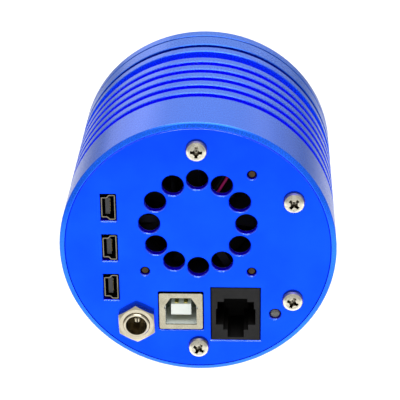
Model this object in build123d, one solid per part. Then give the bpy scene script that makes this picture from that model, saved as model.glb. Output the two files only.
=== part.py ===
from build123d import *
from math import cos, radians, sin
import os

# Cooled astronomy camera: a finned cylindrical body with every socket on its round rear cover.
# Millimetres. The origin is the centre of the front face, where the telescope thread opens.
# +Y points out of the front towards the telescope, +Z is up, +X is right as seen from behind.
# A station is a distance in front of the rear face, so station 0 is y = -body_length.

# ---- driving dimensions ----
body_radius = 37.5
body_length = 70.0
bore_radius = 32.5
fit_gap = 0.05

# rear rim and rear cover
cover_radius = 36.0
cover_thickness = 2.0
cover_gap = 0.1
rim_chamfer_width = 1.2
rim_chamfer_depth = 0.75
rim_edge = 0.3
edge_break = 0.2

# grooves round the body
groove_depth = 3.0
fin_groove_first = 18.3
fin_groove_pitch = 5.9
fin_groove_width = 2.75
fin_groove_count = 5
wide_groove = (47.8, 52.9)
joint_groove = (56.2, 58.6)
joint_station = 57.4

# rear cover screws, M3 pan head
screw_circle = 29.8
screw_angles = (90, 30, -30, -90)
screw_turns = (2, 43, 22, 31)
screw_radius = 1.5
screw_head_radius = 2.9
screw_head_height = 1.9
screw_length = 9.0
boss_radius = 3.2
boss_end = 12.0

# fan, 35 mm square
fan_x = 0.1
fan_z = 8.1
fan_width = 35.0
fan_end = 12.0
fan_hole_pitch = 29.0
fan_screw_radius = 1.25
fan_duct_radius = 16.7
fan_hub_radius = 7.5
fan_blade_count = 7
vent_circle = 13.05
vent_radius = 2.97
vent_count = 12
strut_angles = (60, 180, 300)
fan_wire_radius = 0.38
fan_wire_shift = 0.52
fan_wire_station = 2.56

# status lamp
led_x = 21.1
led_z = -19.45
led_radius = 1.4
led_hole_radius = 1.62

# direct current supply socket
dc_x = -17.0
dc_z = -22.0
dc_bush_radius = 3.55
dc_bore_radius = 2.93
dc_bush_height = 2.6
dc_nut_width = 9.8
dc_nut_height = 2.0
dc_nut_turn = 2.0
dc_pin_radius = 1.0
dc_body_radius = 4.4
dc_body_end = 13.0

# square data socket
usb_x = -4.8
usb_z = -18.65
usb_width = 11.9
usb_height = 11.1
usb_cutout = (12.3, 11.85)
usb_proud = 0.3
usb_sheet = 0.35
usb_cavity_half = 4.3
usb_cavity_depth = 9.6
usb_tongue = (5.55, 3.3)
usb_tongue_front = 0.9

# modular guide socket
guide_x = 10.23
guide_z = -19.6
guide_width = 13.3
guide_height = 16.3
guide_cavity_depth = 12.0
guide_contact_pitch = 1.02

# three small upright sockets
mini_x = -23.8
mini_top_z = 12.75
mini_pitch = 12.1
mini_cutout = (4.35, 8.05)
mini_recess = 0.3
mini_end = 9.0
mini_sheet = 0.25

# boards
board_thickness = 1.6
hub_board_x = -21.9
hub_board_thickness = 1.2
socket_board_station = 16.0
main_board_station = 40.0
sensor_board_station = 50.0
main_board_radius = 31.0
sensor_board_radius = 27.0

# cooler
heat_sink_stations = (26.0, 30.0)
heat_sink_fin_start = 14.2
heat_sink_fin_count = 11
ledge_radius = 27.0
ledge_end = 33.0
cooler_width = 20.0
cooler_end = 33.6
neck_size = (18.0, 9.0)

# sensor
package_station = 54.2
package_size = (30.0, 22.0)
package_depth = 3.0
sensor_die_size = (13.5, 10.5)

# front end
window_radius = 19.5
window_stations = (62.7, 64.2)
chamber_end = 65.0
front_plate_start = 65.8
lip_chamfer = 0.5
gap_chamfer = 0.15
thread_radius = 20.6
window_ring_radius = 22.8
throat_radius = 17.5
front_screw_circle = 29.5
front_screw_angles = (90, 210, 330)
front_screw_spread = 6.5


# ---- helpers ----
def face_plane(station):
    """Plane facing the rear: its own x and y are the camera's X and Z."""
    return Plane(origin=(0, station - body_length, 0), x_dir=(1, 0, 0), z_dir=(0, -1, 0))


def slab(outline, start, end):
    return extrude(face_plane(end) * outline, amount=end - start)


def rod(radius, start, end, x=0, z=0):
    return slab(Pos(x, z) * Circle(radius), start, end)


def tube(outer, inner, start, end, x=0, z=0):
    return slab(Pos(x, z) * (Circle(outer) - Circle(inner)), start, end)


def block(width, height, start, end, x=0, z=0):
    return slab(Pos(x, z) * Rectangle(width, height), start, end)


def turned(outline, x=0, z=0):
    """Solid of revolution about the Y direction from (radius, station) points."""
    points = [(radius, station - body_length) for radius, station in outline]
    return Pos(x, 0, z) * revolve(make_face(Polyline(*points, close=True)), axis=Axis.Y)


def polar(radius, angle, x=0, z=0):
    return x + radius * cos(radians(angle)), z + radius * sin(radians(angle))


def group(solids):
    return Part() + list(solids)


def save(shape, node):
    export_step(shape, "parts/" + node + ".step")


def groove_points(start, end, corner=0.2):
    """Outline of one square groove with broken edges, from the rear to the front."""
    floor = body_radius - groove_depth
    return [
        (body_radius, start - corner), (body_radius - corner, start), (floor, start),
        (floor, end), (body_radius - corner, end), (body_radius, end + corner),
    ]


def mini_centres():
    return [(mini_x, mini_top_z - mini_pitch * i) for i in range(3)]


def fan_corners():
    half = fan_hole_pitch / 2
    return [(fan_x + i * half, fan_z + j * half) for i, j in ((1, 1), (1, -1), (-1, -1), (-1, 1))]


def cover_screw_places():
    return [polar(screw_circle, angle) for angle in screw_angles]


def pan_screw(x, z, turn):
    """Pan-head screw with a cross recess, its head on the rear face."""
    crown = screw_head_height
    head = turned(
        [(0, 0), (screw_head_radius, 0), (screw_head_radius, -0.75), (2.62, -1.3),
         (2.0, -1.68), (1.2, -crown + 0.05), (0, -crown)], x, z)
    shank = rod(screw_radius, 0, screw_length, x, z)
    recess = block(3.2, 0.85, -crown - 0.1, -0.55) + block(0.85, 3.2, -crown - 0.1, -0.55)
    recess += turned([(0, -0.1), (1.05, -crown - 0.1), (0, -crown - 0.1)])
    return head + shank - Pos(x, 0, z) * Rot(0, turn, 0) * recess


# ---- body ----
def make_main_housing():
    rim = cover_radius + cover_gap
    outline = [(rim, 0), (body_radius - rim_chamfer_width, 0),
               (body_radius - rim_edge, rim_chamfer_depth - rim_edge), (body_radius, rim_chamfer_depth)]
    for i in range(fin_groove_count):
        start = fin_groove_first + fin_groove_pitch * i
        outline += groove_points(start, start + fin_groove_width)
    outline += groove_points(*wide_groove)
    floor = body_radius - groove_depth
    edge = joint_groove[0]
    outline += [(body_radius, edge - edge_break), (body_radius - edge_break, edge), (floor, edge)]
    outline += [(floor, joint_station), (bore_radius, joint_station), (bore_radius, ledge_end)]
    outline += [(ledge_radius, ledge_end), (ledge_radius, heat_sink_stations[1])]
    outline += [(bore_radius, heat_sink_stations[1]), (bore_radius, cover_thickness)]
    outline += [(rim, cover_thickness)]
    housing = turned(outline)
    for x, z in cover_screw_places():
        housing += rod(boss_radius, cover_thickness, boss_end, x, z)
    for x, z in cover_screw_places():
        housing -= rod(screw_radius + fit_gap, cover_thickness, screw_length + 1, x, z)
    for i in range(4):
        x, z = polar(29.7, 45 + 90 * i)
        housing -= rod(1.25 + fit_gap, heat_sink_stations[1], ledge_end, x, z)
    return housing


def make_rear_cover():
    outline = Circle(cover_radius)
    for i in range(vent_count):
        outline -= Pos(*polar(vent_circle, 30 * i, fan_x, fan_z)) * Circle(vent_radius)
    for x, z in cover_screw_places():
        outline -= Pos(x, z) * Circle(screw_radius + fit_gap)
    for x, z in fan_corners()[:3]:
        outline -= Pos(x, z) * Circle(fan_screw_radius + fit_gap)
    outline -= Pos(led_x, led_z) * Circle(led_hole_radius)
    outline -= Pos(dc_x, dc_z) * Circle(dc_bush_radius + fit_gap)
    outline -= Pos(usb_x, usb_z) * RectangleRounded(*usb_cutout, 0.3)
    outline -= Pos(guide_x, guide_z) * Rectangle(guide_width + 0.3, guide_height + 0.3)
    for x, z in mini_centres():
        outline -= Pos(x, z) * RectangleRounded(*mini_cutout, 0.25)
    cover = slab(outline, 0, cover_thickness)
    return chamfer(cover.faces().sort_by(Axis.Y)[0].edges(), edge_break)


# ---- fan ----
def make_fan_frame():
    frame = slab(Pos(fan_x, fan_z) * RectangleRounded(fan_width, fan_width, 2.5),
                 cover_thickness, fan_end)
    frame -= rod(fan_duct_radius, cover_thickness, fan_end, fan_x, fan_z)
    for x, z in fan_corners():
        frame -= rod(fan_screw_radius + fit_gap, cover_thickness, fan_end, x, z)
    frame += rod(fan_hub_radius, 3.05, 4.0, fan_x, fan_z)
    for angle in strut_angles:
        x, z = polar(fan_duct_radius / 2 + 3, angle, fan_x, fan_z)
        strut = Pos(x, z) * Rot(0, 0, angle) * Rectangle(fan_duct_radius - 5.5, 2.2)
        frame += slab(strut, 3.05, 4.2)
    x, z = polar(19, strut_angles[0], fan_x, fan_z)
    notch = Pos(x, z) * Rot(0, 0, strut_angles[0]) * Rectangle(6, 2.3)
    return frame - slab(notch, cover_thickness, 3.05)


def make_fan_blade():
    """One twisted blade, from the hub to just inside the duct, along +X."""
    middle = 8.2 - body_length
    sections = []
    for radius, chord, pitch in ((6.95, 6.6, 46), (11.5, 7.8, 54), (15.5, 8.8, 60)):
        plane = Plane(origin=(radius, middle, 0), x_dir=(0, 1, 0), z_dir=(1, 0, 0))
        sections.append(plane * Rot(0, 0, pitch) * Rectangle(chord, 0.8))
    return loft(sections)


def make_fan_rotor():
    cup = turned([(0.77, 10.4), (6.9, 10.4), (6.9, 4.6), (fan_hub_radius, 4.6),
                  (fan_hub_radius, 11.0), (fan_hub_radius - 0.4, 11.4), (0.77, 11.4)])
    blade = make_fan_blade()
    for i in range(fan_blade_count):
        cup += Rot(0, 360 / fan_blade_count * i, 0) * blade
    return Pos(fan_x, 0, fan_z) * cup


def make_fan_stator():
    """Four-pole laminated core round the bearing."""
    core = Circle(2.6)
    for i in range(4):
        core += Rot(0, 0, 90 * i) * Pos(3, 0) * Rectangle(5.4, 1.3)
        core += Rot(0, 0, 90 * i) * Pos(5.0, 0) * Rectangle(0.9, 4.6)
    core -= Circle(1.65)
    return slab(Pos(fan_x, fan_z) * core, 5.6, 8.6)


def make_fan_coils():
    coils = []
    for i in range(4):
        x, z = polar(3.5, 90 * i, fan_x, fan_z)
        ring = Rectangle(1.4, 3.2) - Rectangle(1.4, 1.36)
        coils.append(slab(Pos(x, z) * Rot(0, 0, 90 * i) * ring, 5.3, 8.9))
    return group(coils)


def make_fan_screws():
    screws = []
    for x, z in fan_corners()[:3]:
        head = turned([(0, fan_end), (2.7, fan_end), (2.7, fan_end + 1.2),
                       (1.8, fan_end + 1.8), (0, fan_end + 1.8)], x, z)
        shank = turned([(0, 0.7), (0.85, 0.7), (fan_screw_radius, 1.1),
                        (fan_screw_radius, fan_end), (0, fan_end)], x, z)
        screws.append(head + shank)
    return group(screws)


def make_fan_wire(side):
    """One lead: along the strut, over the frame's edge, then across to its plug."""
    angle = strut_angles[0]
    shift = fan_wire_shift * side
    on_strut = fan_wire_station
    crossing = 15.2 + shift
    route = []
    for place, station in ((polar(4.5, angle, fan_x, fan_z), on_strut),
                           (polar(21.8, angle, fan_x, fan_z), on_strut),
                           (polar(21.8, angle, fan_x, fan_z), crossing),
                           ((19.9, 19.4), crossing)):
        x, z = polar(shift, angle + 90, *place)
        route.append((x, station - body_length, z))
    path = FilletPolyline(*route, radius=1.6)
    return sweep(Plane(path @ 0, z_dir=path % 0) * Circle(fan_wire_radius), path=path)


# ---- sockets ----
def make_dc_jack_body():
    return turned([
        (dc_bore_radius, -dc_bush_height), (dc_bush_radius - 0.25, -dc_bush_height),
        (dc_bush_radius, -dc_bush_height + 0.25), (dc_bush_radius, cover_thickness),
        (dc_body_radius, cover_thickness), (dc_body_radius, dc_body_end),
        (dc_pin_radius, dc_body_end), (dc_pin_radius, 10.0), (dc_bore_radius, 10.0),
    ], dc_x, dc_z)


def make_dc_jack_nut():
    corner = dc_nut_width / 2 / cos(radians(30))
    hexagon = slab(Rot(0, 0, 90 + dc_nut_turn) * RegularPolygon(corner, 6), -dc_nut_height, 0)
    dome = turned([(0, 0), (corner + 1, 0), (corner + 1, -dc_nut_height + 0.7),
                   (dc_nut_width / 2 - 0.25, -dc_nut_height), (0, -dc_nut_height)])
    hole = turned([(0, 0), (dc_bush_radius + fit_gap, 0),
                   (dc_bush_radius + fit_gap, -dc_nut_height + 0.15),
                   (dc_bush_radius + 0.2, -dc_nut_height), (0, -dc_nut_height)])
    return Pos(dc_x, 0, dc_z) * ((hexagon & dome) - hole)


def make_dc_jack_pin():
    """Centre pin with a rounded, slotted tip."""
    pin = turned([(0, 0.3), (0.6, 0.3), (0.9, 0.5), (dc_pin_radius, 0.9),
                  (dc_pin_radius, dc_body_end + 1), (0, dc_body_end + 1)], dc_x, dc_z)
    return pin - block(0.35, 3, 0, 4.5, dc_x, dc_z)


def usb_opening(grow=0.0):
    """D-shaped mouth with two cut corners."""
    half = usb_cavity_half + grow
    corner = 2.84 + grow
    low = -4.14 - grow
    high = 4.14 + grow
    points = [(-half, low), (half, low), (half, 1.9), (corner, high), (-corner, high), (-half, 1.9)]
    return make_face(Polyline(*points, close=True))


def make_usb_b_shell():
    outer = RectangleRounded(usb_width, usb_height, 0.5)
    inner = RectangleRounded(usb_width - 2 * usb_sheet, usb_height - 2 * usb_sheet, 0.3)
    nick = Pos(0, 1.15) * Rectangle(2 * usb_cavity_half + 0.6, 0.7)
    shell = slab(outer, -usb_proud, socket_board_station)
    shell -= slab(inner, -usb_proud + usb_sheet, socket_board_station)
    shell -= slab(usb_opening() + nick, -usb_proud, -usb_proud + usb_sheet)
    return Pos(usb_x, 0, usb_z) * shell


def make_usb_b_insert():
    inset = 2 * usb_sheet + 0.1
    body = slab(RectangleRounded(usb_width - inset, usb_height - inset, 0.3),
                -usb_proud + usb_sheet, socket_board_station)
    body -= slab(usb_opening(-0.05), -usb_proud + usb_sheet, usb_cavity_depth)
    body += block(*usb_tongue, usb_tongue_front, usb_cavity_depth)
    return Pos(usb_x, 0, usb_z) * body


def make_usb_b_contacts():
    strips = []
    for side in (-1, 1):
        for row in (-1, 1):
            z = usb_z + row * (usb_tongue[1] / 2 + 0.15)
            strips.append(block(1.0, 0.3, usb_tongue_front + 0.5, usb_cavity_depth,
                                usb_x + 1.25 * side, z))
    return group(strips)


def guide_opening():
    """Stepped mouth: keyed top, wide middle and a latch slot at the bottom."""
    outline = Pos(0, 4.4) * Rectangle(6.4, 1.1)
    outline += Pos(0, 2.3) * Rectangle(10.1, 3.3)
    outline += Pos(0, -0.8) * Rectangle(10.9, 5.0)
    outline += Pos(0, -4.0) * Rectangle(6.9, 1.8)
    return outline + Pos(0, -6.0) * Rectangle(4.5, 2.6)


def make_guide_jack_contacts():
    """Six spring wires that slant down from the roof, set back from the mouth."""
    wires = []
    for i in range(6):
        x = guide_x + guide_contact_pitch * (i - 2.5)
        wire = Pos(x, 8.0 - body_length, guide_z + 2.5) * Rot(-14, 0, 0) * Box(0.4, 7.9, 0.4)
        wires.append(wire)
    return group(wires)


def make_guide_jack_body():
    body = block(guide_width, guide_height, 0, cover_thickness)
    body += block(guide_width - 0.7, guide_height - 1.4, cover_thickness, socket_board_station)
    body -= slab(guide_opening(), 0, guide_cavity_depth)
    body = Pos(guide_x, 0, guide_z) * body
    return chamfer(body.faces().sort_by(Axis.Y)[0].outer_wire().edges(), 0.15)


def mini_outline():
    """Shell section: narrow on the left, wide on the right, with sloping shoulders."""
    points = [(-1.87, 2.95), (-0.45, 2.95), (0.25, 3.65), (1.87, 3.65),
              (1.87, -3.65), (0.25, -3.65), (-0.45, -2.95), (-1.87, -2.95)]
    return fillet(make_face(Polyline(*points, close=True)).vertices(), 0.3)


def make_mini_usb_shells():
    outer = mini_outline()
    inner = offset(outer, amount=-mini_sheet)
    shell = slab(outer, mini_recess, mini_end) - slab(inner, mini_recess, mini_end - 0.4)
    return group(Pos(x, 0, z) * shell for x, z in mini_centres())


def make_mini_usb_tongues():
    return group(block(1.2, 4.8, 1.3, mini_end - 0.4, x - 0.25, z) for x, z in mini_centres())


def make_mini_usb_contacts():
    """Five thin strips on the right face of each tongue."""
    strips = []
    for x, z in mini_centres():
        for i in range(5):
            strips.append(block(0.12, 0.45, 1.8, mini_end - 0.4, x + 0.41, z + 0.8 * (i - 2)))
    return group(strips)


def make_status_led():
    """Domed lamp with a flange at its foot."""
    return turned([(0, 0.1), (0.8, 0.2), (1.2, 0.42), (led_radius, 0.8), (led_radius, 5.0),
                   (1.75, 5.0), (1.75, 6.0), (0, 6.0)], led_x, led_z)


def make_status_led_pins():
    return group(block(0.5, 0.5, 6.0, socket_board_station, led_x + 1.27 * i, led_z)
                 for i in (-0.5, 0.5))


# ---- boards ----
def make_hub_board():
    middle = hub_board_x + hub_board_thickness / 2
    return block(hub_board_thickness, 34.0, 3.0, 15.6, middle, 0.8)


def make_hub_board_parts():
    x = hub_board_x + hub_board_thickness
    chip = block(1.0, 7.0, 8.0, 15.0, x + 0.5, 1.0)
    others = [block(0.8, 2.4, 12.0, 14.0, x + 0.4, z) for z in (-10.0, 9.5, 13.5)]
    return group([chip] + others)


def make_socket_board():
    lower = Circle(31.5) & Pos(0, -31.0) * Rectangle(64, 40.6)
    right = Circle(31.5) & Pos(27.0, 5.0) * Rectangle(15, 40)
    outline = lower + right
    return slab(outline, socket_board_station, socket_board_station + board_thickness)


def make_socket_board_parts():
    start = socket_board_station + board_thickness
    parts = [block(7, 7, start, start + 1.0, 0, -20), block(5, 4, start, start + 1.2, 12, -18),
             block(4, 4, start, start + 1.5, -12, -19), rod(2.5, start, start + 5.0, 20, -15)]
    parts.append(block(3.6, 4.4, socket_board_station - 2.6, socket_board_station, 22.7, 17.8))
    return group(parts)


def make_main_board():
    outline = Circle(main_board_radius) - Rectangle(22, 13)
    for i in range(4):
        outline -= Pos(*polar(29.5 - 1.2, 45 + 90 * i)) * Circle(1.3)
        outline -= Pos(*polar(24.0, 90 * i)) * Circle(1.3)
    return slab(outline, main_board_station, main_board_station + board_thickness)


def make_main_board_parts():
    start = main_board_station + board_thickness
    parts = [block(10, 10, start, start + 1.2, 12, 16), block(8, 6, start, start + 1.2, -13, 15),
             block(12, 6, start, start + 1.4, -8, -16), rod(3.0, start, start + 6.0, 12, -17)]
    parts += [block(3, 1.6, start, start + 0.9, 18.5, -6 + 4 * i) for i in range(4) if i != 2]
    return group(parts)


def make_sensor_board():
    outline = Circle(sensor_board_radius) - Rectangle(neck_size[0] + 2, neck_size[1] + 2)
    for i in range(4):
        outline -= Pos(*polar(24.0, 90 * i)) * Circle(1.3)
    for x, z in sensor_pin_places():
        outline -= Pos(x, z) * Circle(0.3)
    return slab(outline, sensor_board_station, sensor_board_station + board_thickness)


def hexagon_post(width, start, end, x, z):
    post = Pos(x, z) * RegularPolygon(width / 2, 6, major_radius=False)
    return slab(post - Pos(x, z) * Circle(1.3), start, end)


def make_board_posts():
    """Four posts under the main board and four more under the sensor board."""
    posts = []
    above = main_board_station + board_thickness
    for i in range(4):
        x, z = polar(29.5 - 1.2, 45 + 90 * i)
        posts.append(hexagon_post(4.5, ledge_end, main_board_station, x, z))
        x, z = polar(24.0, 90 * i)
        posts.append(hexagon_post(4.5, above, sensor_board_station, x, z))
    return group(posts)


def make_board_screws():
    """Small screws that clamp each board on its posts."""
    screws = []
    places = [(polar(29.5 - 1.2, 45 + 90 * i), main_board_station) for i in range(4)]
    places += [(polar(24.0, 90 * i), sensor_board_station) for i in range(4)]
    for (x, z), station in places:
        top = station + board_thickness
        screws.append(rod(2.2, top, top + 1.3, x, z) + rod(1.25, station - 3.5, top, x, z))
    return group(screws)


# ---- cooler and sensor ----
def make_heat_sink():
    sink = rod(bore_radius - fit_gap, *heat_sink_stations)
    pitch = 3.0
    for i in range(heat_sink_fin_count):
        x = pitch * (i - (heat_sink_fin_count - 1) / 2)
        sink += block(1.2, 27.0, heat_sink_fin_start, heat_sink_stations[0], x, 7.0)
    for i in range(4):
        x, z = polar(29.7, 45 + 90 * i)
        sink -= rod(1.25 + fit_gap, *heat_sink_stations, x, z)
    return sink


def make_heat_sink_screws():
    screws = []
    for i in range(4):
        x, z = polar(29.7, 45 + 90 * i)
        start = heat_sink_stations[0]
        screws.append(rod(2.2, start - 1.6, start, x, z) + rod(1.25, start, ledge_end - 0.4, x, z))
    return group(screws)


def make_cooler_plate(start):
    return block(cooler_width, cooler_width, start, start + 0.8)


def make_cooler_pellets():
    """Eight by eight semiconductor posts between the two ceramic plates."""
    pellet = Rectangle(1.4, 1.4)
    outline = Sketch() + [place * pellet for place in GridLocations(2.4, 2.4, 8, 8)]
    return slab(outline, heat_sink_stations[1] + 0.8, cooler_end - 0.8)


def make_cold_finger():
    return block(cooler_width, cooler_width, cooler_end, 38.0) + block(*neck_size, 38.0, package_station)


def sensor_pin_places():
    return [(2.0 * (i - 5.5), side * 9.6) for i in range(12) for side in (-1, 1)]


def make_sensor_package():
    package = block(*package_size, package_station, package_station + package_depth)
    return package - block(16, 13, package_station + 1.6, package_station + package_depth)


def make_sensor_pins():
    pin_start = sensor_board_station - 1.5
    return group(rod(0.25, pin_start, package_station, x, z) for x, z in sensor_pin_places())


def make_sensor_die():
    return block(*sensor_die_size, package_station + 1.6, package_station + 2.2)


def make_sensor_glass():
    top = package_station + package_depth
    return block(package_size[0] - 4, package_size[1] - 4, top, top + 0.7)


# ---- front end ----
def front_screw_places(side):
    return [polar(front_screw_circle, angle + side * front_screw_spread)
            for angle in front_screw_angles]


def make_chamber_housing():
    spigot = bore_radius - fit_gap
    floor = body_radius - groove_depth
    edge = joint_groove[1]
    wall = 60.6
    seat = window_radius + 0.2
    housing = turned([
        (28.5, 51.9), (spigot, 51.9), (spigot, 53.2), (30.7, 53.2), (30.7, 55.2), (spigot, 55.2),
        (spigot, joint_station), (floor, joint_station), (floor, edge),
        (body_radius - edge_break, edge), (body_radius, edge + edge_break),
        (body_radius, chamber_end - gap_chamfer), (body_radius - gap_chamfer, chamber_end),
        (window_ring_radius + fit_gap, chamber_end), (window_ring_radius + fit_gap, 64.2),
        (seat, 64.2), (seat, 61.9), (throat_radius, 61.9), (throat_radius, wall), (28.5, wall),
    ])
    for x, z in front_screw_places(-1):
        housing -= rod(screw_radius + fit_gap, 61.2, chamber_end, x, z)
    return housing


def make_chamber_seal():
    ring = Pos(31.58, 54.2 - body_length) * Circle(0.85)
    return revolve(ring, axis=Axis.Y)


def make_window_seal():
    ring = Pos(18.6, 62.3 - body_length) * Circle(0.39)
    return revolve(ring, axis=Axis.Y)


def make_window_ring():
    """Screwed ring with two key slots that holds the window down."""
    ring = tube(window_ring_radius, throat_radius, window_stations[1], chamber_end)
    slot = Rectangle(2 * window_ring_radius, 1.6) - Circle(throat_radius + 2.6)
    return ring - slab(slot, chamber_end - 0.6, chamber_end)


def make_front_plate():
    plate = turned([
        (thread_radius, front_plate_start), (body_radius - gap_chamfer, front_plate_start),
        (body_radius, front_plate_start + gap_chamfer), (body_radius, body_length - lip_chamfer),
        (body_radius - lip_chamfer, body_length), (thread_radius, body_length),
    ])
    for x, z in front_screw_places(-1):
        plate -= rod(screw_radius + 0.2, front_plate_start, body_length, x, z)
        plate -= rod(2.95, body_length - 3.2, body_length, x, z)
    for x, z in front_screw_places(1):
        plate -= rod(screw_radius + fit_gap, front_plate_start, body_length, x, z)
    return plate


def socket_head_screw(radius, head_radius, start, seat, end, x, z):
    """Screw seen from the front: shank, optional head and a hexagon socket."""
    screw = rod(radius, start, seat, x, z) + rod(head_radius, seat, end, x, z)
    hexagon = Pos(x, z) * RegularPolygon(head_radius * 0.44, 6, major_radius=False)
    return screw - slab(hexagon, end - 1.5, end)


def make_clamp_screws():
    seat = body_length - 3.2
    return group(socket_head_screw(screw_radius, 2.75, 61.6, seat, seat + 2.9, x, z)
                 for x, z in front_screw_places(-1))


def make_squaring_screws():
    return group(socket_head_screw(screw_radius, screw_radius, chamber_end, 67.0, 69.4, x, z)
                 for x, z in front_screw_places(1))


def main():
    os.makedirs("parts", exist_ok=True)
    save(make_main_housing(), "main_housing")
    save(make_rear_cover(), "rear_cover")
    save(group(pan_screw(x, z, turn) for (x, z), turn in zip(cover_screw_places(), screw_turns)),
         "rear_cover_screws")

    save(make_fan_frame(), "fan_frame")
    save(make_fan_rotor(), "fan_rotor")
    save(tube(6.85, 6.05, 5.0, 9.8, fan_x, fan_z), "fan_magnet")
    save(rod(0.75, 4.3, 11.1, fan_x, fan_z), "fan_shaft")
    save(tube(1.6, 0.8, 4.0, 9.9, fan_x, fan_z), "fan_bearing")
    save(make_fan_stator(), "fan_stator")
    save(make_fan_coils(), "fan_coils")
    save(make_fan_screws(), "fan_screws")
    save(make_fan_wire(-1), "fan_wire_red")
    save(make_fan_wire(1), "fan_wire_black")

    save(make_dc_jack_body(), "dc_jack_body")
    save(make_dc_jack_nut(), "dc_jack_nut")
    save(make_dc_jack_pin(), "dc_jack_pin")
    save(make_usb_b_shell(), "usb_b_shell")
    save(make_usb_b_insert(), "usb_b_insert")
    save(make_usb_b_contacts(), "usb_b_contacts")
    contacts = make_guide_jack_contacts()
    save(contacts, "guide_jack_contacts")
    save(make_guide_jack_body() - contacts, "guide_jack_body")
    save(make_mini_usb_shells(), "mini_usb_shells")
    save(make_mini_usb_tongues(), "mini_usb_tongues")
    save(make_mini_usb_contacts(), "mini_usb_contacts")
    save(make_status_led(), "status_led")
    save(make_status_led_pins(), "status_led_pins")

    save(make_hub_board(), "hub_board")
    save(make_hub_board_parts(), "hub_board_parts")
    save(make_socket_board(), "socket_board")
    save(make_socket_board_parts(), "socket_board_parts")
    save(make_main_board(), "main_board")
    save(make_main_board_parts(), "main_board_parts")
    save(make_sensor_board(), "sensor_board")
    save(make_board_posts(), "board_posts")
    save(make_board_screws(), "board_screws")

    save(make_heat_sink(), "heat_sink")
    save(make_heat_sink_screws(), "heat_sink_screws")
    save(make_cooler_plate(heat_sink_stations[1]), "cooler_hot_plate")
    save(make_cooler_plate(cooler_end - 0.8), "cooler_cold_plate")
    save(make_cooler_pellets(), "cooler_pellets")
    save(make_cold_finger(), "cold_finger")
    save(make_sensor_package(), "sensor_package")
    save(make_sensor_pins(), "sensor_pins")
    save(make_sensor_die(), "sensor_die")
    save(make_sensor_glass(), "sensor_glass")

    save(make_chamber_housing(), "chamber_housing")
    save(make_chamber_seal(), "chamber_seal")
    save(rod(window_radius, *window_stations), "chamber_window")
    save(make_window_seal(), "window_seal")
    save(make_window_ring(), "window_ring")
    save(make_front_plate(), "front_plate")
    save(make_clamp_screws(), "clamp_screws")
    save(make_squaring_screws(), "squaring_screws")


main()
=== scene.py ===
from math import cos, pi, radians, sin

import bmesh
import bpy
from mathutils import Euler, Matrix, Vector


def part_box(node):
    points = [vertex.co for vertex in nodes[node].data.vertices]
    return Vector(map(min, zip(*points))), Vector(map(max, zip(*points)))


# A cooled astronomy camera: a blue finned barrel with a fan and every socket on its round rear cover.
# Metres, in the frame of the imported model: +Y out of the front to the telescope, +Z up, +X right from behind.
mm = 0.001

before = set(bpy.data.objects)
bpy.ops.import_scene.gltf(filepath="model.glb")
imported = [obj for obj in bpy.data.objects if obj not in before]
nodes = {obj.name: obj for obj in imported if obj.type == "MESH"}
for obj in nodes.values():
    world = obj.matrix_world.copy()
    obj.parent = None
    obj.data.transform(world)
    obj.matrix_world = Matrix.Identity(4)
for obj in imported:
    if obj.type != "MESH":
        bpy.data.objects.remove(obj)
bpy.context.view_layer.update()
rear_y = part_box("rear_cover")[0].y


# ---- camera, floor and light ----
def make_camera():
    """Behind the rear cover and above it, with a slight roll."""
    target, distance = Vector((0.81 * mm, rear_y, 15.28 * mm)), 0.4346
    azimuth, elevation, roll = radians(2.486), radians(25.863), radians(-0.702)
    offset = Vector((sin(azimuth) * cos(elevation), -cos(azimuth) * cos(elevation), sin(elevation)))
    data = bpy.data.cameras.new("photo_camera")
    data.sensor_width = 36
    data.lens = 147.1
    data.clip_start = 0.01
    camera = bpy.data.objects.new("photo_camera", data)
    camera.location = target + distance * offset
    turn = (-offset).to_track_quat("-Z", "Y").to_matrix() @ Euler((0, 0, roll)).to_matrix()
    camera.rotation_euler = turn.to_euler()
    bpy.context.scene.collection.objects.link(camera)
    bpy.context.scene.camera = camera


# Name, place, the point it looks at, width and length, and power in watts. Cards mirror in the blue skin.
# The table lights lie on the floor and give back what a white table would.
LIGHTS = (
    ("key_light", (0.05, -0.52, 1.0), (0, 0, 0), (0.9, 0.6), 6.0),
    ("back_light", (0, 0.8, 1.1), (0, 0.7, 0), (1.0, 0.8), 11),
    ("back_card", (0, 1.0, 0.5), (0, 0, 0), (1.4, 0.5), 2.2),
    ("left_card", (-0.5, 1.0, 0.18), (0, 0, 0), (0.5, 0.35), 0.66),
    ("right_card", (0.5, 1.0, 0.18), (0, 0, 0), (0.5, 0.35), 0.25),
    ("camera_card", (0, -1.3, 0.2), (0, 0, 0), (2.0, 0.6), 1.9),
    ("low_fill", (0, -0.54, -0.28), (0, -0.48, 0), (0.5, 0.29), 0.5),
    ("left_table", (-0.55, -0.3, -0.28), (-0.55, -0.3, 0), (0.5, 0.7), 1.4),
    ("right_table", (0.55, -0.3, -0.28), (0.55, -0.3, 0), (0.5, 0.7), 1.4),
    ("under_table", (0, 0.05, -0.28), (0, 0.05, 0), (0.5, 0.5), 1.1),
)


def area_light(name, place, aim, size, watts):
    data = bpy.data.lights.new(name, "AREA")
    data.shape = "RECTANGLE"
    data.size, data.size_y = size
    data.energy = watts
    light = bpy.data.objects.new(name, data)
    light.visible_camera = False
    light.location = place
    light.rotation_euler = (Vector(aim) - Vector(place)).to_track_quat("-Z", "Y").to_euler()
    bpy.context.scene.collection.objects.link(light)


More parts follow.
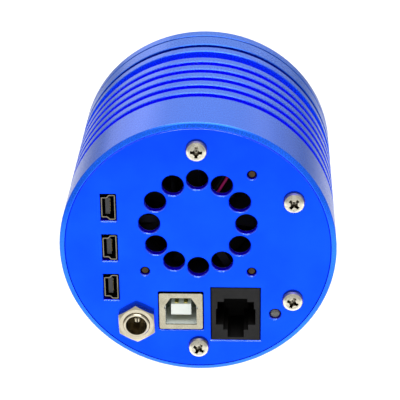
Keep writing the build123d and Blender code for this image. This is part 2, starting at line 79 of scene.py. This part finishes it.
def make_sky():
    """White all round, slightly brighter from above."""
    horizon, zenith, zenith_from = 0.55, 0.6, 0.6
    world = bpy.data.worlds.new("studio")
    world.use_nodes = True
    tree = world.node_tree
    direction = tree.nodes.new("ShaderNodeTexCoord").outputs["Generated"]
    height = tree.nodes.new("ShaderNodeSeparateXYZ")
    tree.links.new(direction, height.inputs[0])
    strength = tree.nodes.new("ShaderNodeMapRange")
    for key, value in (("From Min", 0.0), ("From Max", zenith_from), ("To Min", horizon), ("To Max", zenith)):
        strength.inputs[key].default_value = value
    tree.links.new(height.outputs["Z"], strength.inputs["Value"])
    background = tree.nodes["Background"]
    background.inputs["Color"].default_value = (1, 1, 1, 1)
    tree.links.new(strength.outputs["Result"], background.inputs["Strength"])
    bpy.context.scene.world = world
    bpy.context.scene.view_settings.view_transform = "Standard"


def make_floor():
    """A plain pale floor well below: the camera hangs on its telescope thread."""
    mesh = bmesh.new()
    side, drop, steps = 6.0, 0.30, 24
    bmesh.ops.create_grid(mesh, x_segments=steps, y_segments=steps, size=side / 2)
    data = bpy.data.meshes.new("floor")
    mesh.to_mesh(data)
    mesh.free()
    floor = bpy.data.objects.new("floor", data)
    floor.location = (0, 0, -drop)
    bpy.context.scene.collection.objects.link(floor)
    finish = Finish("floor_paper")
    finish.set(roughness=0.9, specular=0.1)
    finish.colour(finish.noise(9, detail=3), (0.9, 0.9, 0.9), (0.94, 0.94, 0.94))
    data.materials.append(finish.material)


# ---- materials ----
class Finish:
    """A material with one main shader, and the node patterns that the finishes share, in millimetres."""

    middle = (0.3, 0.7)  # most of a noise's values lie between these
    inputs = {"metallic": "Metallic", "roughness": "Roughness", "specular": "Specular IOR Level",
              "coat": "Coat Weight", "coat_roughness": "Coat Roughness", "ior": "IOR",
              "transmission": "Transmission Weight", "sheen": "Sheen Weight",
              "anisotropic": "Anisotropic", "subsurface": "Subsurface Weight",
              "film": "Thin Film Thickness", "edge_tint": "Specular Tint"}

    def __init__(self, name):
        self.material = bpy.data.materials.new(name)
        self.material.use_nodes = True
        self.tree = self.material.node_tree
        self.shader = self.tree.nodes["Principled BSDF"]
        self.place = self.node("ShaderNodeTexCoord").outputs["Object"]

    def node(self, kind, **settings):
        node = self.tree.nodes.new(kind)
        for key, value in settings.items():
            setattr(node, key, value)
        return node

    def link(self, source, target):
        self.tree.links.new(source, target)

    def set(self, **values):
        for key, value in values.items():
            self.shader.inputs[self.inputs[key]].default_value = value

    def noise(self, per_metre, detail, stretch=(1, 1, 1)):
        """Cloudy noise with this many patches to the metre."""
        mapping = self.node("ShaderNodeMapping")
        self.link(self.place, mapping.inputs["Vector"])
        mapping.inputs["Scale"].default_value = stretch
        node = self.node("ShaderNodeTexNoise")
        self.link(mapping.outputs["Vector"], node.inputs["Vector"])
        for key, value in (("Scale", per_metre), ("Detail", detail), ("Roughness", 0.55)):
            node.inputs[key].default_value = value
        return node.outputs["Fac"]

    def grain(self, size, detail=4.0, stretch=(1, 1, 1)):
        """The same noise by the size of its patches."""
        return self.noise(1 / (size * mm), detail, stretch)

    def cells(self, size):
        """0 at scattered points about this far apart, rising between them."""
        node = self.node("ShaderNodeTexVoronoi")
        self.link(self.place, node.inputs["Vector"])
        node.inputs["Scale"].default_value = 1 / (size * mm)
        return node.outputs["Distance"]

    def lines(self, period, direction, rings=False, waver=0.0):
        """Parallel lines, or rings round an axis, this many millimetres apart."""
        node = self.node("ShaderNodeTexWave", wave_type="RINGS" if rings else "BANDS")
        if rings:
            node.rings_direction = direction
        else:
            node.bands_direction = direction
        self.link(self.place, node.inputs["Vector"])
        phase_per_unit = 20  # of the wave texture, at scale 1
        scale = 2 * pi / phase_per_unit / (period * mm)
        for key, value in (("Scale", scale), ("Distortion", waver), ("Detail", 2)):
            node.inputs[key].default_value = value
        return node.outputs["Fac"]

    def span(self, factor, low, high, start=0.0, end=1.0):
        """From low to high while the factor goes from start to end."""
        node = self.node("ShaderNodeMapRange")
        self.link(factor, node.inputs["Value"])
        for key, value in (("From Min", start), ("From Max", end), ("To Min", low), ("To Max", high)):
            node.inputs[key].default_value = value
        return node.outputs["Result"]

    def maths(self, operation, first, second):
        """Sum, product or the like of two, each a number or another node's output."""
        node = self.node("ShaderNodeMath", operation=operation)
        for slot, value in enumerate((first, second)):
            if isinstance(value, (int, float)):
                node.inputs[slot].default_value = value
            else:
                self.link(value, node.inputs[slot])
        return node.outputs["Value"]

    def blend(self, factor, first, second):
        """Colour between two, each a colour or another node's output."""
        node = self.node("ShaderNodeMix", data_type="RGBA")
        self.link(factor, node.inputs["Factor"])
        for key, value in (("A", first), ("B", second)):
            slot = [i for i in node.inputs if i.name == key and i.type == "RGBA"][0]
            if isinstance(value, tuple):
                slot.default_value = (*value, 1)
            else:
                self.link(value, slot)
        return [o for o in node.outputs if o.type == "RGBA"][0]

    def colour(self, factor, first, second):
        self.link(self.blend(factor, first, second), self.shader.inputs["Base Color"])

    def tones(self, size, dark, light, detail=4.0):
        """Two tones in patches of this size."""
        return self.blend(self.span(self.grain(size, detail), 0, 1, *self.middle), dark, light)

    def roughness(self, factor, low, high):
        self.link(self.span(factor, low, high, *self.middle), self.shader.inputs["Roughness"])

    def edges(self, radius, up=False):
        """1 on sharp edges and 0 elsewhere, from how far a rounded normal leaves the true one.

        up keeps only the edges that look up, for a painted highlight where light falls from above.
        """
        bevel = self.node("ShaderNodeBevel", samples=4)
        bevel.inputs["Radius"].default_value = radius * mm
        geometry = self.node("ShaderNodeNewGeometry")
        dot = self.node("ShaderNodeVectorMath", operation="DOT_PRODUCT")
        self.link(bevel.outputs["Normal"], dot.inputs[0])
        self.link(geometry.outputs["Normal"], dot.inputs[1])
        sharpest, flat = 0.85, 0.995
        sharp = self.span(dot.outputs["Value"], 1.0, 0.0, sharpest, flat)
        return self.maths("MULTIPLY", sharp, self.facing("Z", 0.2, 0.6)) if up else sharp

    def facing(self, axis, start, end):
        """1 on faces that look along an axis, up for Z or either way for Y, and 0 on the rest."""
        parts = self.node("ShaderNodeSeparateXYZ")
        self.link(self.node("ShaderNodeNewGeometry").outputs["Normal"], parts.inputs[0])
        part = parts.outputs[axis]
        if axis == "Y":
            part = self.maths("ABSOLUTE", part, 0)
        return self.span(part, 0.0, 1.0, start, end)

    def cavity(self, reach, start, end):
        """0 deep inside holes and corners and 1 in the open, looking this far in millimetres; the finishes
        paint shade where it is low.
        """
        node = self.node("ShaderNodeAmbientOcclusion", samples=6)
        node.inputs["Distance"].default_value = reach * mm
        return self.span(node.outputs["AO"], 0, 1, start, end)

    def bump(self, height, depth):
        node = self.node("ShaderNodeBump")
        node.inputs["Distance"].default_value = depth * mm
        self.link(height, node.inputs["Height"])
        self.link(node.outputs["Normal"], self.shader.inputs["Normal"])


def anodised(name, dark, light, coat, rough, turned, edge_wear_and_highlight, hollow_shade, open_from):
    """Dyed aluminium: satin metal under a clear oxide skin, with a painted highlight on the edges that look up
    and a deeper blue painted into hollows as shade.

    Turned pieces have tool marks, and round the barrel less blue and more skin than on the faces along Y.
    On the flat cover, the walls of the holes get the painted hollow shade too.
    """
    edge_highlight_colour, skin_along_y, barrel_blue = (0.7, 0.85, 1.0), 0.3, 0.62
    edge_tint = (0.3, 0.3, 0.6, 1.0) if turned else (0.25, 0.2, 1.0, 1.0)
    finish = Finish(name)
    finish.set(metallic=0.65, specular=0.0, coat=coat, coat_roughness=0.22, edge_tint=edge_tint)
    shade = finish.span(finish.noise(90, detail=3), 0, 1, 0.35, 0.65)
    face = finish.blend(shade, dark, light)
    along = finish.facing("Y", 0.3, 0.7)
    openness = finish.cavity(5.0 if turned else 3.0, open_from / 2, open_from)
    blast = finish.grain(0.12)
    if turned:
        finish.link(finish.span(along, coat, skin_along_y), finish.shader.inputs["Coat Weight"])
        face = finish.blend(along, (*dark[:2], dark[2] * barrel_blue), face)
        marks = finish.maths("ADD", finish.lines(0.22, "Y", waver=0.3),
                             finish.lines(0.25, "Y", rings=True, waver=0.3))
        height = finish.maths("ADD", blast, finish.maths("MULTIPLY", marks, 0.5))
    else:
        height = blast
        # Painted shade: the walls of the holes take the hollow colour however open they are.
        openness = finish.maths("MULTIPLY", openness, along)
    # Painted shade: the hollow colour goes where the occlusion finds hollows.
    face = finish.blend(openness, hollow_shade, face)
    # Painted highlight: the edges that look up turn pale, as if they caught the light from above.
    finish.colour(finish.maths("MULTIPLY", finish.edges(0.15, up=True), edge_wear_and_highlight), face, edge_highlight_colour)
    finish.roughness(finish.grain(0.35), *rough)
    finish.bump(height, 0.0004)
    return finish.material


def plated(name, dark, light, rough, reach=1.2, hollow_shade=(0.12, 0.09, 0.045), open_from=0.75):
    """Plated metal with faint stains, fine polishing lines, brighter edges, and a colour painted into hollows
    as shade.
    """
    gain, edge_wear_and_highlight = 1.15, 0.4
    finish = Finish(name)
    finish.set(metallic=1.0)
    face = finish.tones(2.2, dark, light, detail=5)
    bright = tuple(min(1.0, value * gain) for value in light)
    face = finish.blend(finish.maths("MULTIPLY", finish.edges(0.12), edge_wear_and_highlight), face, bright)
    # Painted shade: the hollow colour goes into recesses and holes.
    finish.colour(finish.cavity(reach, open_from / 3, open_from), hollow_shade, face)
    finish.roughness(finish.grain(0.3), *rough)
    finish.bump(finish.grain(0.2, stretch=(1, 0.2, 1)), 0.006)
    return finish.material


def moulded(name, dark, light, rough, depth=0.01, specular=0.5, reach=3.0,
            hollow_shade=(0.002, 0.002, 0.002), open_from=0.85, lit_up_faces=False):
    """Moulded plastic: fine spark-eroded grain, a little shade in the colour, polished edges.

    With the flag set, faces that look up skip the painted hollow shade even deep inside, a painted light where
    light falls from above.
    """
    grain, edge_wear_and_highlight, gain, lift = 0.12, 0.5, 1.3, 0.005
    finish = Finish(name)
    finish.set(specular=specular)
    shade = finish.tones(4, dark, light)
    polished = tuple(min(1.0, value * gain + lift) for value in light)
    shade = finish.blend(finish.maths("MULTIPLY", finish.edges(0.12), edge_wear_and_highlight), shade, polished)
    openness = finish.cavity(reach, open_from / 3, open_from)
    if lit_up_faces:
        # Painted light: faces that look up stay light even deep inside the socket.
        openness = finish.maths("MAXIMUM", openness, finish.facing("Z", 0.3, 0.9))
    # Painted shade: the hollow colour goes into recesses and holes.
    finish.colour(openness, hollow_shade, shade)
    finish.roughness(finish.grain(0.8), *rough)
    finish.bump(finish.maths("ADD", finish.grain(grain), finish.cells(grain * 2)), depth)
    return finish.material


def circuit_board(name):
    """Green solder mask over copper tracks that stand a little proud, with pale pads."""
    finish = Finish(name)
    finish.set(specular=0.5, coat=0.4, coat_roughness=0.15)
    weave = finish.grain(0.5)
    tracks_x = finish.span(finish.lines(1.3, "X", waver=3.0), 0, 1, 0.7, 0.8)
    tracks_z = finish.span(finish.lines(1.7, "Z", waver=3.0), 0, 1, 0.72, 0.82)
    tracks = finish.maths("MAXIMUM", tracks_x, tracks_z)
    mask = finish.blend(weave, (0.006, 0.07, 0.03), (0.01, 0.11, 0.045))
    tracked = finish.blend(tracks, mask, (0.03, 0.2, 0.07))
    pads = finish.span(finish.cells(2.4), 1, 0, 0.12, 0.16)
    finish.colour(pads, tracked, (0.62, 0.6, 0.55))
    finish.roughness(weave, 0.25, 0.4)
    finish.bump(finish.maths("ADD", tracks, finish.maths("MULTIPLY", weave, 0.3)), 0.02)
    return finish.material


def chip_epoxy(name):
    """Matt black resin with a fine filler."""
    finish = Finish(name)
    finish.colour(finish.grain(0.15), (0.012, 0.012, 0.013), (0.035, 0.035, 0.036))
    finish.roughness(finish.grain(0.6), 0.5, 0.7)
    finish.bump(finish.grain(0.08), 0.01)
    return finish.material


def wire_skin(name, dark, light, specular):
    """Soft insulation, glossy with faint waviness."""
    finish = Finish(name)
    finish.set(specular=specular)
    finish.colour(finish.grain(1.5), dark, light)
    finish.roughness(finish.grain(0.7), 0.4, 0.55)
    finish.bump(finish.grain(0.9), 0.02)
    return finish.material


def windings(name):
    """Enamelled wire wound side by side."""
    finish = Finish(name)
    finish.set(metallic=1.0, coat=0.6, coat_roughness=0.1)
    turns = finish.lines(0.18, "Y", waver=0.4)
    finish.colour(turns, (0.28, 0.09, 0.03), (0.72, 0.32, 0.14))
    finish.roughness(finish.grain(0.4), 0.22, 0.4)
    finish.bump(turns, 0.06)
    return finish.material


def laminations(name):
    """The edges of stacked steel sheets."""
    finish = Finish(name)
    finish.set(metallic=1.0)
    sheets = finish.lines(0.35, "Y")
    finish.colour(sheets, (0.1, 0.1, 0.11), (0.42, 0.42, 0.43))
    finish.roughness(finish.grain(0.5), 0.35, 0.5)
    finish.bump(sheets, 0.03)
    return finish.material


def milled(name, dark, light, rough, period):
    """Bare metal with the lines of the cutter."""
    finish = Finish(name)
    finish.set(metallic=1.0, anisotropic=0.4)
    marks = finish.maths("ADD", finish.lines(period, "Y", waver=0.5),
                         finish.lines(period * 1.3, "Y", rings=True, waver=0.5))
    finish.colour(finish.grain(1.5), dark, light)
    finish.roughness(finish.grain(0.4), *rough)
    finish.bump(marks, 0.006)
    return finish.material


def ceramic(name, dark, light):
    """Fired ceramic with a fine speckle."""
    finish = Finish(name)
    finish.set(specular=0.4)
    finish.colour(finish.grain(0.25), dark, light)
    finish.roughness(finish.grain(1.0), 0.5, 0.7)
    finish.bump(finish.grain(0.15), 0.01)
    return finish.material


def coated_glass(name, film):
    """Clear glass with the faintest dust and an anti-reflection film this many nanometres thick."""
    finish = Finish(name)
    finish.set(transmission=1.0, ior=1.5, film=film)
    dust = finish.span(finish.cells(1.6), 0.05, 0.0, 0.02, 0.05)
    finish.link(finish.maths("ADD", dust, finish.span(finish.grain(6), 0.0, 0.03, 0.5, 0.8)),
                finish.shader.inputs["Roughness"])
    finish.shader.inputs["Base Color"].default_value = (0.97, 0.99, 0.98, 1)
    return finish.material


def sensor_surface(name):
    """Polished die: a fine pixel array."""
    finish = Finish(name)
    finish.set(specular=0.8, film=420, coat=1.0, coat_roughness=0.03)
    rows = finish.lines(0.12, "X")
    columns = finish.lines(0.12, "Z")
    array = finish.maths("MULTIPLY", rows, columns)
    finish.colour(array, (0.026, 0.03, 0.058), (0.03, 0.035, 0.068))
    finish.roughness(finish.grain(1), 0.1, 0.18)
    finish.bump(array, 0.0001)
    return finish.material


def rubber(name):
    """Matt black seal rubber."""
    finish = Finish(name)
    finish.set(specular=0.3, sheen=0.1)
    finish.colour(finish.grain(0.4), (0.01, 0.01, 0.01), (0.03, 0.03, 0.03))
    finish.roughness(finish.grain(0.8), 0.6, 0.8)
    finish.bump(finish.grain(0.2), 0.02)
    return finish.material


def lamp_epoxy(name):
    """Water-clear resin, clouded a little by the die and wires inside it."""
    finish = Finish(name)
    finish.set(transmission=0.15, ior=1.5, subsurface=0.2)
    finish.colour(finish.grain(0.9), (0.078, 0.07, 0.064), (0.145, 0.13, 0.118))
    finish.roughness(finish.grain(0.5), 0.12, 0.3)
    finish.bump(finish.grain(0.6), 0.01)
    return finish.material


def make_finishes():
    """The finishes, each with the CAD nodes that have it."""
    cover = anodised("cover_anodised", (0.002, 0.054, 0.95), (0.003, 0.064, 0.98), coat=0.04,
                     rough=(0.14, 0.18), turned=False, edge_wear_and_highlight=0.9, hollow_shade=(0.014, 0.0, 1.0), open_from=0.55)
    body = anodised("body_anodised", (0.004, 0.12, 0.9), (0.006, 0.14, 0.96), coat=0.56,
                    rough=(0.24, 0.3), turned=True, edge_wear_and_highlight=0.5, hollow_shade=(0.014, 0.002, 1.0), open_from=0.95)
    front = anodised("front_anodised", (0.004, 0.13, 0.86), (0.006, 0.15, 0.92), coat=0.52,
                     rough=(0.24, 0.3), turned=True, edge_wear_and_highlight=0.2, hollow_shade=(0.0, 0.01, 0.3), open_from=0.95)
    nickel = plated("nickel_plate", (0.49, 0.465, 0.375), (0.6, 0.57, 0.47), (0.25, 0.35), reach=1.6,
                    hollow_shade=(0.04, 0.028, 0.012), open_from=0.97)
    # The DC jack's deep inside is painted bronze: partly the inner contact's own colour, partly painted light
    # in the shaded hole.
    barrel = plated("socket_plate", (0.37, 0.335, 0.25), (0.46, 0.42, 0.33), (0.18, 0.3), reach=3.0,
                    hollow_shade=(0.6, 0.42, 0.16), open_from=0.25)
    shell = plated("shell_plate", (0.29, 0.27, 0.2), (0.36, 0.34, 0.26), (0.2, 0.32), reach=3.0,
                   hollow_shade=(0.006, 0.006, 0.006))
    small_shell = plated("small_shell_plate", (0.15, 0.135, 0.105), (0.22, 0.2, 0.155), (0.25, 0.35),
                         reach=3.0, hollow_shade=(0.004, 0.003, 0.002))
    zinc = plated("zinc_steel", (0.5, 0.5, 0.5), (0.68, 0.67, 0.64), (0.25, 0.4))
    oxide = plated("oxide_steel", (0.035, 0.024, 0.013), (0.085, 0.053, 0.027), (0.3, 0.45), reach=2.0,
                   hollow_shade=(0.05, 0.035, 0.018), open_from=0.95)
    gold = plated("gold_plate", (0.66, 0.56, 0.14), (0.88, 0.76, 0.26), (0.18, 0.3),
                  hollow_shade=(0.66, 0.6, 0.14))
    dull_gold = plated("dull_gold_plate", (0.28, 0.22, 0.08), (0.42, 0.33, 0.13), (0.25, 0.4))
    brass = plated("turned_brass", (0.5, 0.36, 0.14), (0.72, 0.54, 0.26), (0.22, 0.36))
    bronze = plated("sintered_bronze", (0.34, 0.2, 0.09), (0.5, 0.32, 0.16), (0.35, 0.5))
    magnet = plated("sintered_magnet", (0.05, 0.05, 0.05), (0.09, 0.088, 0.085), (0.4, 0.55))
    pellets = plated("semiconductor", (0.25, 0.25, 0.27), (0.4, 0.4, 0.43), (0.3, 0.5))
    fan = moulded("fan_plastic", (0.004, 0.004, 0.0045), (0.007, 0.007, 0.008), (0.65, 0.8), specular=0.06)
    jack = moulded("jack_plastic", (0.0105, 0.0105, 0.0105), (0.0155, 0.015, 0.0155), (0.5, 0.65),
                   specular=0.17, reach=9.0, hollow_shade=(0.001, 0.0005, 0.0), open_from=0.97)
    tongue = moulded("tongue_plastic", (0.03, 0.03, 0.032), (0.045, 0.045, 0.047), (0.45, 0.6),
                     reach=2.0, open_from=0.6)
    insert = moulded("insert_plastic", (0.68, 0.74, 0.69), (0.78, 0.82, 0.78), (0.3, 0.45), depth=0.004,
                     hollow_shade=(0.03, 0.075, 0.03), lit_up_faces=True)
    board = circuit_board("circuit_board")
    chips = chip_epoxy("chip_epoxy")
    sink = milled("bare_aluminium", (0.6, 0.6, 0.62), (0.75, 0.75, 0.76), (0.28, 0.4), period=0.5)
    ring = milled("ring_black", (0.012, 0.012, 0.014), (0.03, 0.03, 0.032), (0.35, 0.5), period=0.3)
    fired = ceramic("fired_alumina", (0.74, 0.74, 0.72), (0.84, 0.84, 0.82))
    package = ceramic("package_ceramic", (0.13, 0.11, 0.1), (0.19, 0.165, 0.15))
    seal = rubber("seal_rubber")
    stack = laminations("core_laminations")
    coils = windings("coil_windings")
    red = wire_skin("wire_red", (0.2, 0.0, 0.045), (0.28, 0.002, 0.065), specular=0.2)
    black = wire_skin("wire_black", (0.002, 0.002, 0.002), (0.004, 0.004, 0.004), specular=0.03)
    window = coated_glass("window_glass", film=110)
    cover_glass = coated_glass("sensor_cover_glass", film=130)
    die = sensor_surface("sensor_surface")
    lamp = lamp_epoxy("lamp_epoxy")
    return {
        cover: ["rear_cover"],
        body: ["main_housing"],
        front: ["chamber_housing", "front_plate"],
        nickel: ["rear_cover_screws"],
        barrel: ["dc_jack_body", "dc_jack_nut", "dc_jack_pin"],
        shell: ["usb_b_shell"],
        small_shell: ["mini_usb_shells"],
        zinc: ["fan_shaft", "status_led_pins", "board_screws", "heat_sink_screws"],
        oxide: ["fan_screws", "clamp_screws", "squaring_screws"],
        gold: ["usb_b_contacts", "sensor_pins"],
        dull_gold: ["guide_jack_contacts", "mini_usb_contacts"],
        brass: ["board_posts"],
        bronze: ["fan_bearing"],
        magnet: ["fan_magnet"],
        pellets: ["cooler_pellets"],
        fan: ["fan_frame", "fan_rotor"],
        jack: ["guide_jack_body"],
        tongue: ["mini_usb_tongues"],
        insert: ["usb_b_insert"],
        board: ["hub_board", "socket_board", "main_board", "sensor_board"],
        chips: ["hub_board_parts", "socket_board_parts", "main_board_parts"],
        sink: ["cold_finger"],
        ring: ["window_ring", "heat_sink"],
        fired: ["cooler_hot_plate", "cooler_cold_plate"],
        package: ["sensor_package"],
        seal: ["chamber_seal", "window_seal"],
        stack: ["fan_stator"],
        coils: ["fan_coils"],
        red: ["fan_wire_red"],
        black: ["fan_wire_black"],
        window: ["chamber_window"],
        cover_glass: ["sensor_glass"],
        die: ["sensor_die"],
        lamp: ["status_led"],
    }


def dress(finishes):
    """Gives each CAD node its finish; every node gets one."""
    bare = set(nodes)
    for material, names in finishes.items():
        for name in names:
            slots = nodes[name].data.materials
            for slot in range(len(slots)):
                slots[slot] = material
            bare.remove(name)
    assert not bare, bare


make_camera()
make_sky()
for light in LIGHTS:
    area_light(*light)
make_floor()
dress(make_finishes())
